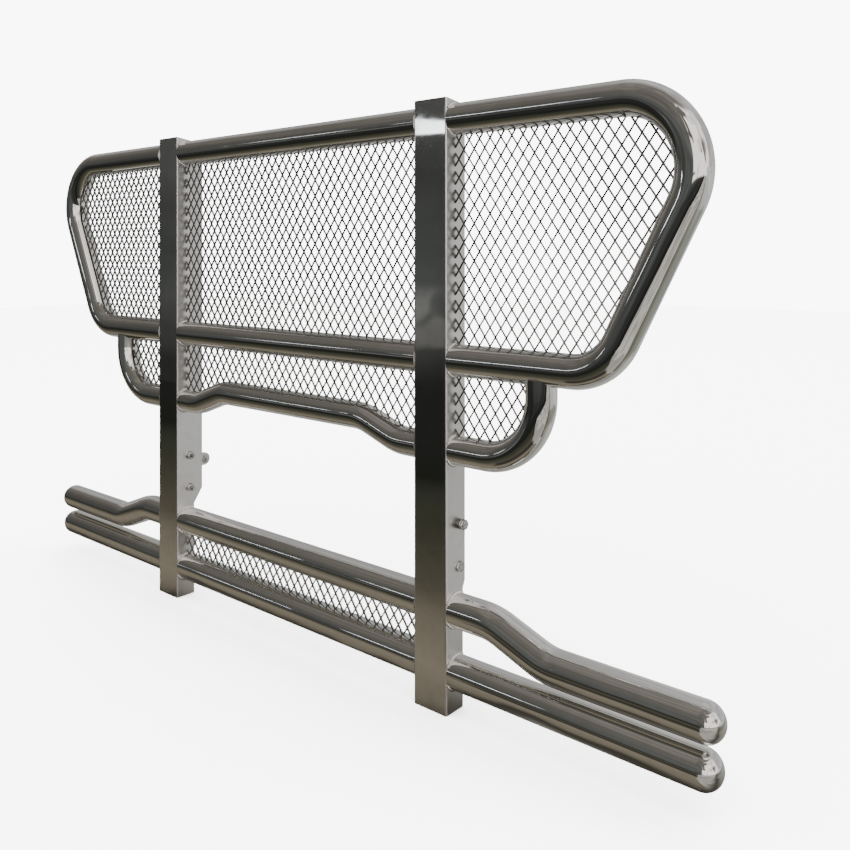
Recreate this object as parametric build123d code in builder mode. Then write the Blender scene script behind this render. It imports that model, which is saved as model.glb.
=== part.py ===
from build123d import *
import math
import os

# Front grille guard for a heavy truck: two folded channel posts carry a trapezoidal tube loop,
# a lower tube with a raised middle, two bumper tubes with domed ends, and expanded mesh infill.
# Origin: middle of the guard, level with the posts' front faces, at the posts' feet.
# +X along the guard's width, -Y out of its front, +Z up.

POST_H = 1300.0            # post height
POST_X = 486.0             # post centre from the middle
POST_W = 90.0              # post front face width
POST_T = 5.0               # folded plate thickness
FOOT_DEPTH = 57.0          # flange depth beside the bumper tubes
OUTER_DEPTH = 64.0         # outer flange depth above them
INNER_DEPTH = 84.0         # inner flange depth above them
FOLD_R = 4.0               # outside radius of the two front folds
STEP_Z = 256.0             # height where the flanges get deeper
TOP_SLOPE = math.tan(math.radians(8.0))

LOOP_R = 34.5              # loop tube outside radius
LOOP_Y = 31.5              # loop tube centre plane behind the front faces
TOP_Z = 1255.0             # top rail height
MID_Z = 745.0              # middle rail height
TOP_CORNER_X = 1140.0      # where top rail and slanted side lines meet
MID_CORNER_X = 885.0       # where middle rail and slanted side lines meet
TOP_BEND_R = 135.0
MID_BEND_R = 116.0
WALL = 2.5                 # tube wall

LOW_R = 31.75              # lower bar tube outside radius
LOW_Z = 554.0              # lower bar height beside the posts
LOW_LIFT = 40.0            # rise of its middle
LIFT_IN_X = 261.0
LIFT_OUT_X = 373.0
LIFT_BEND_R = 140.0
LOW_SIDE_X = 745.0         # upright leg of the lower bar
LOW_BEND_R = 133.0

BUMP_R = 36.5              # bumper tube outside radius
BUMP_Y = 35.5
BUMP_LOW_Z = 83.0
BUMP_UP_Z = 214.0
BUMP_WING_Z = 165.5        # upper bumper tube height out at the wings
WING_IN_X = 628.0
WING_OUT_X = 757.0
WING_BEND_R = 150.0
BUMP_LOW_END = 1070.0      # centres of the domed ends
BUMP_UP_END = 1074.0

MESH_T = 2.0               # expanded sheet thickness
PITCH_X = 27.0             # diamond width, centre to centre
PITCH_Z = 39.0             # diamond height, centre to centre
STRAND = 2.4               # strand width
RIM = 2.0                  # closed edge left round each mesh panel

BOLT_Y = 42.0
BOLT_LOW_Z = 305.0
BOLT_UP_Z = 396.0
BOLT_R = 6.0
HOLE_R = 6.5
HEAD_AF = 19.0
HEAD_H = 7.5
NUT_H = 10.8
WASHER_R = 12.0
WASHER_T = 2.0
SPACER_R = 11.0
SPACER_L = 10.0
THREAD_OUT = 9.0           # thread showing past the nut
LUG_T = 8.0
LUG_Y = 96.0
LUG_Z = 375.0
WELD = 4.5                 # weld fillet leg

post_in = POST_X - POST_W / 2
post_out = POST_X + POST_W / 2
side_run = TOP_CORNER_X - MID_CORNER_X
side_rise = TOP_Z - MID_Z
side_angle = math.atan2(side_rise, side_run)
top_turn = math.pi - side_angle
mid_turn = side_angle
top_tangent = TOP_BEND_R * math.tan(top_turn / 2)
mid_tangent = MID_BEND_R * math.tan(mid_turn / 2)
side_dx = math.cos(side_angle)
side_dz = math.sin(side_angle)
side_top = (TOP_CORNER_X - top_tangent * side_dx, TOP_Z - top_tangent * side_dz)
side_low = (MID_CORNER_X + mid_tangent * side_dx, MID_Z + mid_tangent * side_dz)
lift_turn = math.atan2(LOW_LIFT, LIFT_OUT_X - LIFT_IN_X)

os.makedirs("parts", exist_ok=True)


def save(item, name):
    item.part.label = name
    export_step(item.part, "parts/" + name + ".step")


# ---- posts: plate folded into a channel, open at the back ----

with BuildPart() as right_post:
    with BuildSketch():
        with Locations((POST_X, INNER_DEPTH / 2)):
            Rectangle(POST_W, INNER_DEPTH)
        fillet(vertices().group_by(Axis.Y)[0], FOLD_R)
        with Locations((POST_X, POST_T + INNER_DEPTH / 2)):
            Rectangle(POST_W - 2 * POST_T, INNER_DEPTH, mode=Mode.SUBTRACT)
    extrude(amount=POST_H)
    # the outer flange is shallower, and steps in again beside the bumper tubes
    with BuildSketch(Plane.YZ.offset(POST_X)):
        with BuildLine():
            Polyline(
                (FOOT_DEPTH, -1),
                (FOOT_DEPTH, STEP_Z),
                (OUTER_DEPTH, STEP_Z + 14),
                (OUTER_DEPTH, POST_H + 1),
                (INNER_DEPTH + 1, POST_H + 1),
                (INNER_DEPTH + 1, -1),
                close=True,
            )
        make_face()
    extrude(amount=POST_W, mode=Mode.SUBTRACT)
    # the inner flange steps in beside the bumper tubes
    with BuildSketch(Plane.YZ.offset(POST_X)):
        with BuildLine():
            Polyline(
                (FOOT_DEPTH, -1),
                (FOOT_DEPTH, STEP_Z),
                (INNER_DEPTH, STEP_Z + 40),
                (INNER_DEPTH + 1, STEP_Z + 40),
                (INNER_DEPTH + 1, -1),
                close=True,
            )
        make_face()
    extrude(amount=-POST_W, mode=Mode.SUBTRACT)
    # the top falls away towards the back
    with BuildSketch(Plane.YZ.offset(POST_X - POST_W)):
        with BuildLine():
            Polyline(
                (0, POST_H),
                (INNER_DEPTH + 1, POST_H - (INNER_DEPTH + 1) * TOP_SLOPE),
                (INNER_DEPTH + 1, POST_H + 1),
                (0, POST_H + 1),
                close=True,
            )
        make_face()
    extrude(amount=2 * POST_W, mode=Mode.SUBTRACT)
    # two bolt holes through both flanges
    with BuildSketch(Plane.YZ.offset(POST_X - POST_W)):
        with Locations((BOLT_Y, BOLT_LOW_Z), (BOLT_Y, BOLT_UP_Z)):
            Circle(HOLE_R)
    extrude(amount=2 * POST_W, mode=Mode.SUBTRACT)
save(right_post, "right_post")

with BuildPart() as left_post:
    mirror(right_post.part, about=Plane.YZ)
save(left_post, "left_post")

# sloping plate let into the top of each channel
with BuildPart() as right_post_cap:
    with BuildSketch(Plane.YZ.offset(post_in + POST_T)):
        with BuildLine():
            Polyline(
                (POST_T, POST_H - POST_T * TOP_SLOPE),
                (OUTER_DEPTH, POST_H - OUTER_DEPTH * TOP_SLOPE),
                (OUTER_DEPTH, POST_H - OUTER_DEPTH * TOP_SLOPE - POST_T),
                (POST_T, POST_H - POST_T * TOP_SLOPE - POST_T),
                close=True,
            )
        make_face()
    extrude(amount=POST_W - 2 * POST_T)
save(right_post_cap, "right_post_cap")

with BuildPart() as left_post_cap:
    mirror(right_post_cap.part, about=Plane.YZ)
save(left_post_cap, "left_post_cap")

# flat plate let into the foot of each channel
with BuildPart() as right_post_foot:
    with BuildSketch():
        with Locations((POST_X, (POST_T + FOOT_DEPTH) / 2)):
            Rectangle(POST_W - 2 * POST_T, FOOT_DEPTH - POST_T)
    extrude(amount=POST_T)
save(right_post_foot, "right_post_foot")

with BuildPart() as left_post_foot:
    mirror(right_post_foot.part, about=Plane.YZ)
save(left_post_foot, "left_post_foot")

# bracket lug welded inside the inner flange, reaching out behind it
with BuildPart() as right_bracket_lug:
    with BuildSketch(Plane.YZ.offset(post_in + POST_T)):
        with Locations((LUG_Y, LUG_Z)):
            Circle(18)
        with Locations(((52 + LUG_Y) / 2, LUG_Z)):
            Rectangle(LUG_Y - 52, 36)
        with Locations((LUG_Y, LUG_Z)):
            Circle(HOLE_R, mode=Mode.SUBTRACT)
    extrude(amount=LUG_T)
save(right_bracket_lug, "right_bracket_lug")

with BuildPart() as left_bracket_lug:
    mirror(right_bracket_lug.part, about=Plane.YZ)
save(left_bracket_lug, "left_bracket_lug")

# ---- loop: straight rails between the posts, bent corners and slanted sides outside them ----

with BuildPart() as top_rail:
    with BuildSketch(Plane.YZ.offset(-post_in)):
        with Locations((LOOP_Y, TOP_Z)):
            Circle(LOOP_R)
            Circle(LOOP_R - WALL, mode=Mode.SUBTRACT)
    extrude(amount=2 * post_in)
save(top_rail, "top_rail")

with BuildPart() as middle_rail:
    with BuildSketch(Plane.YZ.offset(-post_in)):
        with Locations((LOOP_Y, MID_Z)):
            Circle(LOOP_R)
            Circle(LOOP_R - WALL, mode=Mode.SUBTRACT)
    extrude(amount=2 * post_in)
save(middle_rail, "middle_rail")

with BuildPart() as right_top_elbow:
    with BuildLine(Plane.XZ.offset(-LOOP_Y)) as elbow_line:
        FilletPolyline((post_out, TOP_Z), (TOP_CORNER_X, TOP_Z), side_top, radius=TOP_BEND_R - 0.001)
    with BuildSketch(Plane(origin=elbow_line.line @ 0, z_dir=elbow_line.line % 0)):
        Circle(LOOP_R)
        Circle(LOOP_R - WALL, mode=Mode.SUBTRACT)
    sweep()
save(right_top_elbow, "right_top_elbow")

with BuildPart() as left_top_elbow:
    mirror(right_top_elbow.part, about=Plane.YZ)
save(left_top_elbow, "left_top_elbow")

with BuildPart() as right_side_tube:
    with BuildLine(Plane.XZ.offset(-LOOP_Y)) as side_line:
        Line(side_top, side_low)
    with BuildSketch(Plane(origin=side_line.line @ 0, z_dir=side_line.line % 0)):
        Circle(LOOP_R)
        Circle(LOOP_R - WALL, mode=Mode.SUBTRACT)
    sweep()
save(right_side_tube, "right_side_tube")

with BuildPart() as left_side_tube:
    mirror(right_side_tube.part, about=Plane.YZ)
save(left_side_tube, "left_side_tube")

with BuildPart() as right_lower_elbow:
    with BuildLine(Plane.XZ.offset(-LOOP_Y)) as low_elbow_line:
        FilletPolyline((post_out, MID_Z), (MID_CORNER_X, MID_Z), side_low, radius=MID_BEND_R - 0.001)
    with BuildSketch(Plane(origin=low_elbow_line.line @ 0, z_dir=low_elbow_line.line % 0)):
        Circle(LOOP_R)
        Circle(LOOP_R - WALL, mode=Mode.SUBTRACT)
    sweep()
save(right_lower_elbow, "right_lower_elbow")

with BuildPart() as left_lower_elbow:
    mirror(right_lower_elbow.part, about=Plane.YZ)
save(left_lower_elbow, "left_lower_elbow")

# ---- lower bar: raised in the middle, turned up to the middle rail outside the posts ----

with BuildPart() as lower_bar:
    with BuildLine(Plane.XZ.offset(-LOOP_Y)) as lift_line:
        FilletPolyline(
            (-post_in, LOW_Z),
            (-LIFT_OUT_X, LOW_Z),
            (-LIFT_IN_X, LOW_Z + LOW_LIFT),
            (LIFT_IN_X, LOW_Z + LOW_LIFT),
            (LIFT_OUT_X, LOW_Z),
            (post_in, LOW_Z),
            radius=LIFT_BEND_R,
        )
    with BuildSketch(Plane(origin=lift_line.line @ 0, z_dir=lift_line.line % 0)):
        Circle(LOW_R)
        Circle(LOW_R - WALL, mode=Mode.SUBTRACT)
    sweep()
save(lower_bar, "lower_bar")

with BuildPart() as right_lower_bend:
    with BuildLine(Plane.XZ.offset(-LOOP_Y)) as bend_line:
        FilletPolyline((post_out, LOW_Z), (LOW_SIDE_X, LOW_Z), (LOW_SIDE_X, MID_Z), radius=LOW_BEND_R)
    with BuildSketch(Plane(origin=bend_line.line @ 0, z_dir=bend_line.line % 0)):
        Circle(LOW_R)
        Circle(LOW_R - WALL, mode=Mode.SUBTRACT)
    sweep()
    # the upright end is notched to sit round the underside of the middle rail
    with BuildSketch(Plane.YZ.offset(LOW_SIDE_X - 60)):
        with Locations((LOOP_Y, MID_Z)):
            Circle(LOOP_R)
    extrude(amount=120, mode=Mode.SUBTRACT)
save(right_lower_bend, "right_lower_bend")

with BuildPart() as left_lower_bend:
    mirror(right_lower_bend.part, about=Plane.YZ)
save(left_lower_bend, "left_lower_bend")

# ---- bumper tubes: two straight lengths between the posts, four wings with domed ends ----

with BuildPart() as lower_bumper_centre:
    with BuildSketch(Plane.YZ.offset(-post_in)):
        with Locations((BUMP_Y, BUMP_LOW_Z)):
            Circle(BUMP_R)
    extrude(amount=2 * post_in)
    with BuildSketch(Plane.YZ.offset(-post_in + WALL)):
        with Locations((BUMP_Y, BUMP_LOW_Z)):
            Circle(BUMP_R - WALL)
    extrude(amount=2 * (post_in - WALL), mode=Mode.SUBTRACT)
save(lower_bumper_centre, "lower_bumper_centre")

with BuildPart() as upper_bumper_centre:
    with BuildSketch(Plane.YZ.offset(-post_in)):
        with Locations((BUMP_Y, BUMP_UP_Z)):
            Circle(BUMP_R)
    extrude(amount=2 * post_in)
    with BuildSketch(Plane.YZ.offset(-post_in + WALL)):
        with Locations((BUMP_Y, BUMP_UP_Z)):
            Circle(BUMP_R - WALL)
    extrude(amount=2 * (post_in - WALL), mode=Mode.SUBTRACT)
save(upper_bumper_centre, "upper_bumper_centre")

with BuildPart() as right_lower_wing:
    with BuildSketch(Plane.YZ.offset(post_out)):
        with Locations((BUMP_Y, BUMP_LOW_Z)):
            Circle(BUMP_R)
    extrude(amount=BUMP_LOW_END - post_out)
    with BuildSketch(Plane.YZ.offset(post_out + WALL)):
        with Locations((BUMP_Y, BUMP_LOW_Z)):
            Circle(BUMP_R - WALL)
    extrude(amount=BUMP_LOW_END - post_out - WALL, mode=Mode.SUBTRACT)
save(right_lower_wing, "right_lower_wing")

with BuildPart() as left_lower_wing:
    mirror(right_lower_wing.part, about=Plane.YZ)
save(left_lower_wing, "left_lower_wing")

with BuildPart() as right_upper_wing:
    with BuildLine(Plane.XZ.offset(-BUMP_Y)) as wing_line:
        FilletPolyline(
            (post_out, BUMP_UP_Z),
            (WING_IN_X, BUMP_UP_Z),
            (WING_OUT_X, BUMP_WING_Z),
            (BUMP_UP_END, BUMP_WING_Z),
            radius=WING_BEND_R,
        )
    with BuildSketch(Plane(origin=wing_line.line @ 0, z_dir=wing_line.line % 0)):
        Circle(BUMP_R)
        Circle(BUMP_R - WALL, mode=Mode.SUBTRACT)
    sweep()
    # the inner end is closed against the post
    with BuildSketch(Plane.YZ.offset(post_out)):
        with Locations((BUMP_Y, BUMP_UP_Z)):
            Circle(BUMP_R - WALL / 2)
    extrude(amount=WALL)
save(right_upper_wing, "right_upper_wing")

with BuildPart() as left_upper_wing:
    mirror(right_upper_wing.part, about=Plane.YZ)
save(left_upper_wing, "left_upper_wing")

with BuildPart() as right_lower_dome:
    with Locations((BUMP_LOW_END, BUMP_Y, BUMP_LOW_Z)):
        Sphere(BUMP_R)
        Sphere(BUMP_R - WALL, mode=Mode.SUBTRACT)
    split(bisect_by=Plane.YZ.offset(BUMP_LOW_END), keep=Keep.TOP)
save(right_lower_dome, "right_lower_dome")

with BuildPart() as left_lower_dome:
    mirror(right_lower_dome.part, about=Plane.YZ)
save(left_lower_dome, "left_lower_dome")

with BuildPart() as right_upper_dome:
    with Locations((BUMP_UP_END, BUMP_Y, BUMP_WING_Z)):
        Sphere(BUMP_R)
        Sphere(BUMP_R - WALL, mode=Mode.SUBTRACT)
    split(bisect_by=Plane.YZ.offset(BUMP_UP_END), keep=Keep.TOP)
save(right_upper_dome, "right_upper_dome")

with BuildPart() as left_upper_dome:
    mirror(right_upper_dome.part, about=Plane.YZ)
save(left_upper_dome, "left_upper_dome")

# ---- expanded mesh: upright diamonds slit and stretched from thin sheet ----

half_x = PITCH_X / 2
half_z = PITCH_Z / 2
shrink = 1 - STRAND / 2 * math.hypot(half_x, half_z) / (half_x * half_z)
DIAMOND = [(half_x * shrink, 0), (0, half_z * shrink), (-half_x * shrink, 0), (0, -half_z * shrink)]


def diamond_centres(x_low, x_high, z_low, z_high):
    columns = range(math.floor(x_low / half_x), math.ceil(x_high / half_x) + 1)
    rows = range(math.floor(z_low / half_z), math.ceil(z_high / half_z) + 1)
    return [(i * half_x, j * half_z) for i in columns for j in rows if (i + j) % 2 == 0]


def keep_openings(sketch):
    return [f for f in sketch.faces() if f.area > 40]


rail_low = TOP_Z - LOOP_R
rail_high = MID_Z + LOOP_R
rail_under = MID_Z - LOOP_R
bar_top = LOW_Z + LOW_R
side_shift_top = LOOP_R * math.tan(top_turn / 2)
side_shift_low = LOOP_R * math.tan(mid_turn / 2)
lift_shift = LOW_R * math.tan(lift_turn / 2)

with BuildSketch() as upper_centre_openings:
    with Locations(*diamond_centres(-post_in, post_in, rail_high, rail_low)):
        Polygon(*DIAMOND, align=None)
    with Locations((0, (rail_low + rail_high) / 2)):
        Rectangle(2 * (post_in - RIM), rail_low - rail_high - 2 * RIM, mode=Mode.INTERSECT)

with BuildPart() as upper_centre_mesh:
    with BuildSketch(Plane.XZ.offset(-(LOOP_Y + MESH_T / 2))):
        with Locations((0, (rail_low + rail_high) / 2)):
            Rectangle(2 * post_in, rail_low - rail_high)
        add(keep_openings(upper_centre_openings.sketch_local), mode=Mode.SUBTRACT)
    extrude(amount=MESH_T)
save(upper_centre_mesh, "upper_centre_mesh")

with BuildSketch() as upper_side_outline:
    with BuildLine():
        FilletPolyline(
            (post_out, rail_high),
            (MID_CORNER_X - side_shift_low, rail_high),
            (TOP_CORNER_X - side_shift_top, rail_low),
            (post_out, rail_low),
            radius=[MID_BEND_R - LOOP_R, TOP_BEND_R - LOOP_R],
        )
        Line((post_out, rail_low), (post_out, rail_high))
    make_face()

with BuildSketch() as upper_side_openings:
    with Locations(*diamond_centres(post_out, TOP_CORNER_X, rail_high, rail_low)):
        Polygon(*DIAMOND, align=None)
    add(offset(upper_side_outline.sketch_local, amount=-RIM, mode=Mode.PRIVATE), mode=Mode.INTERSECT)

with BuildPart() as upper_right_mesh:
    with BuildSketch(Plane.XZ.offset(-(LOOP_Y + MESH_T / 2))):
        add(upper_side_outline.sketch_local)
        add(keep_openings(upper_side_openings.sketch_local), mode=Mode.SUBTRACT)
    extrude(amount=MESH_T)
save(upper_right_mesh, "upper_right_mesh")

with BuildPart() as upper_left_mesh:
    mirror(upper_right_mesh.part, about=Plane.YZ)
save(upper_left_mesh, "upper_left_mesh")

with BuildSketch() as lower_centre_outline:
    with BuildLine():
        FilletPolyline(
            (-post_in, bar_top),
            (-LIFT_OUT_X - lift_shift, bar_top),
            (-LIFT_IN_X - lift_shift, bar_top + LOW_LIFT),
            (LIFT_IN_X + lift_shift, bar_top + LOW_LIFT),
            (LIFT_OUT_X + lift_shift, bar_top),
            (post_in, bar_top),
            radius=[
                LIFT_BEND_R - LOW_R,
                LIFT_BEND_R + LOW_R,
                LIFT_BEND_R + LOW_R,
                LIFT_BEND_R - LOW_R,
            ],
        )
        Polyline((post_in, bar_top), (post_in, rail_under), (-post_in, rail_under), (-post_in, bar_top))
    make_face()

with BuildSketch() as lower_centre_openings:
    with Locations(*diamond_centres(-post_in, post_in, bar_top, rail_under)):
        Polygon(*DIAMOND, align=None)
    add(offset(lower_centre_outline.sketch_local, amount=-RIM, mode=Mode.PRIVATE), mode=Mode.INTERSECT)

with BuildPart() as lower_centre_mesh:
    with BuildSketch(Plane.XZ.offset(-(LOOP_Y + MESH_T / 2))):
        add(lower_centre_outline.sketch_local)
        add(keep_openings(lower_centre_openings.sketch_local), mode=Mode.SUBTRACT)
    extrude(amount=MESH_T)
save(lower_centre_mesh, "lower_centre_mesh")

with BuildSketch() as lower_side_outline:
    with BuildLine():
        FilletPolyline(
            (post_out, bar_top),
            (LOW_SIDE_X - LOW_R, bar_top),
            (LOW_SIDE_X - LOW_R, rail_under),
            radius=LOW_BEND_R - LOW_R,
        )
        Polyline((LOW_SIDE_X - LOW_R, rail_under), (post_out, rail_under), (post_out, bar_top))
    make_face()

with BuildSketch() as lower_side_openings:
    with Locations(*diamond_centres(post_out, LOW_SIDE_X, bar_top, rail_under)):
        Polygon(*DIAMOND, align=None)
    add(offset(lower_side_outline.sketch_local, amount=-RIM, mode=Mode.PRIVATE), mode=Mode.INTERSECT)

with BuildPart() as lower_right_mesh:
    with BuildSketch(Plane.XZ.offset(-(LOOP_Y + MESH_T / 2))):
        add(lower_side_outline.sketch_local)
        add(keep_openings(lower_side_openings.sketch_local), mode=Mode.SUBTRACT)
    extrude(amount=MESH_T)
save(lower_right_mesh, "lower_right_mesh")

with BuildPart() as lower_left_mesh:
    mirror(lower_right_mesh.part, about=Plane.YZ)
save(lower_left_mesh, "lower_left_mesh")

strip_low = BUMP_LOW_Z + BUMP_R
strip_high = BUMP_UP_Z - BUMP_R

with BuildSketch() as bumper_openings:
    with Locations(*diamond_centres(-post_in, post_in, strip_low, strip_high)):
        Polygon(*DIAMOND, align=None)
    with Locations((0, (strip_low + strip_high) / 2)):
        Rectangle(2 * (post_in - RIM), strip_high - strip_low - 2 * RIM, mode=Mode.INTERSECT)

with BuildPart() as bumper_mesh:
    with BuildSketch(Plane.XZ.offset(-(BUMP_Y + MESH_T / 2))):
        with Locations((0, (strip_low + strip_high) / 2)):
            Rectangle(2 * post_in, strip_high - strip_low)
        add(keep_openings(bumper_openings.sketch_local), mode=Mode.SUBTRACT)
    extrude(amount=MESH_T)
save(bumper_mesh, "bumper_mesh")

# ---- fasteners: two bolts through each post's flanges, the upper one on a spacer ----

lower_head_x = post_out + WASHER_T
upper_head_x = post_out + SPACER_L + WASHER_T
nut_x = post_in - WASHER_T - NUT_H
thread_end_x = nut_x - THREAD_OUT

with BuildPart() as lower_flange_bolts:
    with BuildSketch(Plane.YZ.offset(lower_head_x)):
        with Locations((BOLT_Y, BOLT_LOW_Z)):
            RegularPolygon(HEAD_AF / 2, 6, major_radius=False)
    extrude(amount=HEAD_H)
    chamfer(faces().sort_by(Axis.X)[-1].edges(), 0.9)
    with BuildSketch(Plane.YZ.offset(thread_end_x)):
        with Locations((BOLT_Y, BOLT_LOW_Z)):
            Circle(BOLT_R)
    extrude(amount=lower_head_x - thread_end_x)
    chamfer(faces().sort_by(Axis.X)[0].edges(), 1.0)
    mirror(about=Plane.YZ)
save(lower_flange_bolts, "lower_flange_bolts")

with BuildPart() as upper_flange_bolts:
    with BuildSketch(Plane.YZ.offset(upper_head_x)):
        with Locations((BOLT_Y, BOLT_UP_Z)):
            RegularPolygon(HEAD_AF / 2, 6, major_radius=False)
    extrude(amount=HEAD_H)
    chamfer(faces().sort_by(Axis.X)[-1].edges(), 0.9)
    with BuildSketch(Plane.YZ.offset(thread_end_x)):
        with Locations((BOLT_Y, BOLT_UP_Z)):
            Circle(BOLT_R)
    extrude(amount=upper_head_x - thread_end_x)
    chamfer(faces().sort_by(Axis.X)[0].edges(), 1.0)
    mirror(about=Plane.YZ)
save(upper_flange_bolts, "upper_flange_bolts")

with BuildPart() as flange_spacers:
    with BuildSketch(Plane.YZ.offset(post_out)):
        with Locations((BOLT_Y, BOLT_UP_Z)):
            Circle(SPACER_R)
            Circle(HOLE_R, mode=Mode.SUBTRACT)
    extrude(amount=SPACER_L)
    mirror(about=Plane.YZ)
save(flange_spacers, "flange_spacers")

with BuildPart() as flange_washers:
    with BuildSketch(Plane.YZ.offset(post_out)):
        with Locations((BOLT_Y, BOLT_LOW_Z)):
            Circle(WASHER_R)
            Circle(HOLE_R, mode=Mode.SUBTRACT)
    extrude(amount=WASHER_T)
    with BuildSketch(Plane.YZ.offset(post_out + SPACER_L)):
        with Locations((BOLT_Y, BOLT_UP_Z)):
            Circle(WASHER_R)
            Circle(HOLE_R, mode=Mode.SUBTRACT)
    extrude(amount=WASHER_T)
    with BuildSketch(Plane.YZ.offset(post_in)):
        with Locations((BOLT_Y, BOLT_LOW_Z), (BOLT_Y, BOLT_UP_Z)):
            Circle(WASHER_R)
            Circle(HOLE_R, mode=Mode.SUBTRACT)
    extrude(amount=-WASHER_T)
    mirror(about=Plane.YZ)
save(flange_washers, "flange_washers")

with BuildPart() as flange_nuts:
    with BuildSketch(Plane.YZ.offset(nut_x)):
        with Locations((BOLT_Y, BOLT_LOW_Z), (BOLT_Y, BOLT_UP_Z)):
            RegularPolygon(HEAD_AF / 2, 6, major_radius=False)
            Circle(BOLT_R, mode=Mode.SUBTRACT)
    extrude(amount=NUT_H)
    mirror(about=Plane.YZ)
save(flange_nuts, "flange_nuts")

# one bolt and nut stand ready in each bracket lug
with BuildPart() as lug_bolts:
    with BuildSketch(Plane.YZ.offset(post_in + POST_T + LUG_T)):
        with Locations((LUG_Y, LUG_Z)):
            RegularPolygon(HEAD_AF / 2, 6, major_radius=False)
    extrude(amount=HEAD_H)
    chamfer(faces().sort_by(Axis.X)[-1].edges(), 0.9)
    with BuildSketch(Plane.YZ.offset(post_in + POST_T - NUT_H - 4)):
        with Locations((LUG_Y, LUG_Z)):
            Circle(BOLT_R)
    extrude(amount=LUG_T + NUT_H + 4)
    chamfer(faces().sort_by(Axis.X)[0].edges(), 1.0)
    mirror(about=Plane.YZ)
save(lug_bolts, "lug_bolts")

with BuildPart() as lug_nuts:
    with BuildSketch(Plane.YZ.offset(post_in + POST_T - NUT_H)):
        with Locations((LUG_Y, LUG_Z)):
            RegularPolygon(HEAD_AF / 2, 6, major_radius=False)
            Circle(BOLT_R, mode=Mode.SUBTRACT)
    extrude(amount=NUT_H)
    mirror(about=Plane.YZ)
save(lug_nuts, "lug_nuts")

# ---- weld fillets where each tube end meets a post's side face ----

joints = [
    (LOOP_Y, TOP_Z, LOOP_R),
    (LOOP_Y, MID_Z, LOOP_R),
    (LOOP_Y, LOW_Z, LOW_R),
    (BUMP_Y, BUMP_UP_Z, BUMP_R),
    (BUMP_Y, BUMP_LOW_Z, BUMP_R),
]

with BuildPart() as post_welds:
    for joint_y, joint_z, joint_r in joints:
        with Locations(Plane(origin=(post_out, joint_y, joint_z), z_dir=(1, 0, 0))):
            Cone(joint_r + WELD, joint_r, WELD, align=(Align.CENTER, Align.CENTER, Align.MIN))
            Cylinder(joint_r, WELD, align=(Align.CENTER, Align.CENTER, Align.MIN), mode=Mode.SUBTRACT)
        with Locations(Plane(origin=(post_in, joint_y, joint_z), z_dir=(-1, 0, 0))):
            Cone(joint_r + WELD, joint_r, WELD, align=(Align.CENTER, Align.CENTER, Align.MIN))
            Cylinder(joint_r, WELD, align=(Align.CENTER, Align.CENTER, Align.MIN), mode=Mode.SUBTRACT)
    # the fillets stop at the front folds and at the flanges' rear edges
    with Locations((POST_X, 1.5, 0)):
        Box(2 * POST_W, 60, 3 * POST_H, align=(Align.CENTER, Align.MAX, Align.CENTER), mode=Mode.SUBTRACT)
    with Locations((POST_X, FOOT_DEPTH - 0.5, 0)):
        Box(2 * POST_W, 60, 2 * STEP_Z, align=(Align.CENTER, Align.MIN, Align.CENTER), mode=Mode.SUBTRACT)
    with Locations((POST_X, OUTER_DEPTH - 0.5, STEP_Z)):
        Box(POST_W, 60, POST_H, align=(Align.MIN, Align.MIN, Align.MIN), mode=Mode.SUBTRACT)
    # slits let the mesh sheets run right into the corners
    with Locations((POST_X, LOOP_Y, (LOW_Z + TOP_Z) / 2)):
        Box(2 * POST_W, MESH_T, TOP_Z - LOW_Z, mode=Mode.SUBTRACT)
    with Locations((POST_X, BUMP_Y, (BUMP_LOW_Z + BUMP_UP_Z) / 2)):
        Box(2 * POST_W, MESH_T, BUMP_UP_Z - BUMP_LOW_Z, mode=Mode.SUBTRACT)
    mirror(about=Plane.YZ)
save(post_welds, "post_welds")
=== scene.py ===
import math

import bmesh
import bpy
from mathutils import Matrix, Vector


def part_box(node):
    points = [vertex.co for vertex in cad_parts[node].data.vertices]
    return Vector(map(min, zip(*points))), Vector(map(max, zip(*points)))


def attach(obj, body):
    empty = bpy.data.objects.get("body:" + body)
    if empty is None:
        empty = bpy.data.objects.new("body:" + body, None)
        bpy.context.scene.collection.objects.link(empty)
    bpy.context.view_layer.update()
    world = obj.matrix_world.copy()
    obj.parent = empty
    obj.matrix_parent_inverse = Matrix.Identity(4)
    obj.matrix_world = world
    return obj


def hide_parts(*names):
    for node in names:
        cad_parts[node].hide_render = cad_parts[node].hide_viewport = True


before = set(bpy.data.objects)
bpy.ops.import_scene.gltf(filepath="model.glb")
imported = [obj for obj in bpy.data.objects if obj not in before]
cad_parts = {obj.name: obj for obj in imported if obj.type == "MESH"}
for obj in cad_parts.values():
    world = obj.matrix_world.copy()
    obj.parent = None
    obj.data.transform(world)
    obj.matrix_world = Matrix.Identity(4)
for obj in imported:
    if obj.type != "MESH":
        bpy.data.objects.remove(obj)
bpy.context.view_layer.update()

# ---------------------------------------------------------------- viewpoint
# The guard stands on its two feet on a dealer's floor, seen from its own left front corner
# at three quarters of its height. The camera is level; the lens shift keeps the feet in view.
eye = bpy.data.objects.new("eye", bpy.data.cameras.new("eye"))
bpy.context.scene.collection.objects.link(eye)
eye.location = (1.668, -1.416, 0.971)
eye.rotation_euler = (math.radians(90), 0, math.radians(40.17))
eye.data.lens = 36.73
eye.data.sensor_width = 36
eye.data.shift_y = -0.2018
bpy.context.scene.camera = eye


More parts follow.
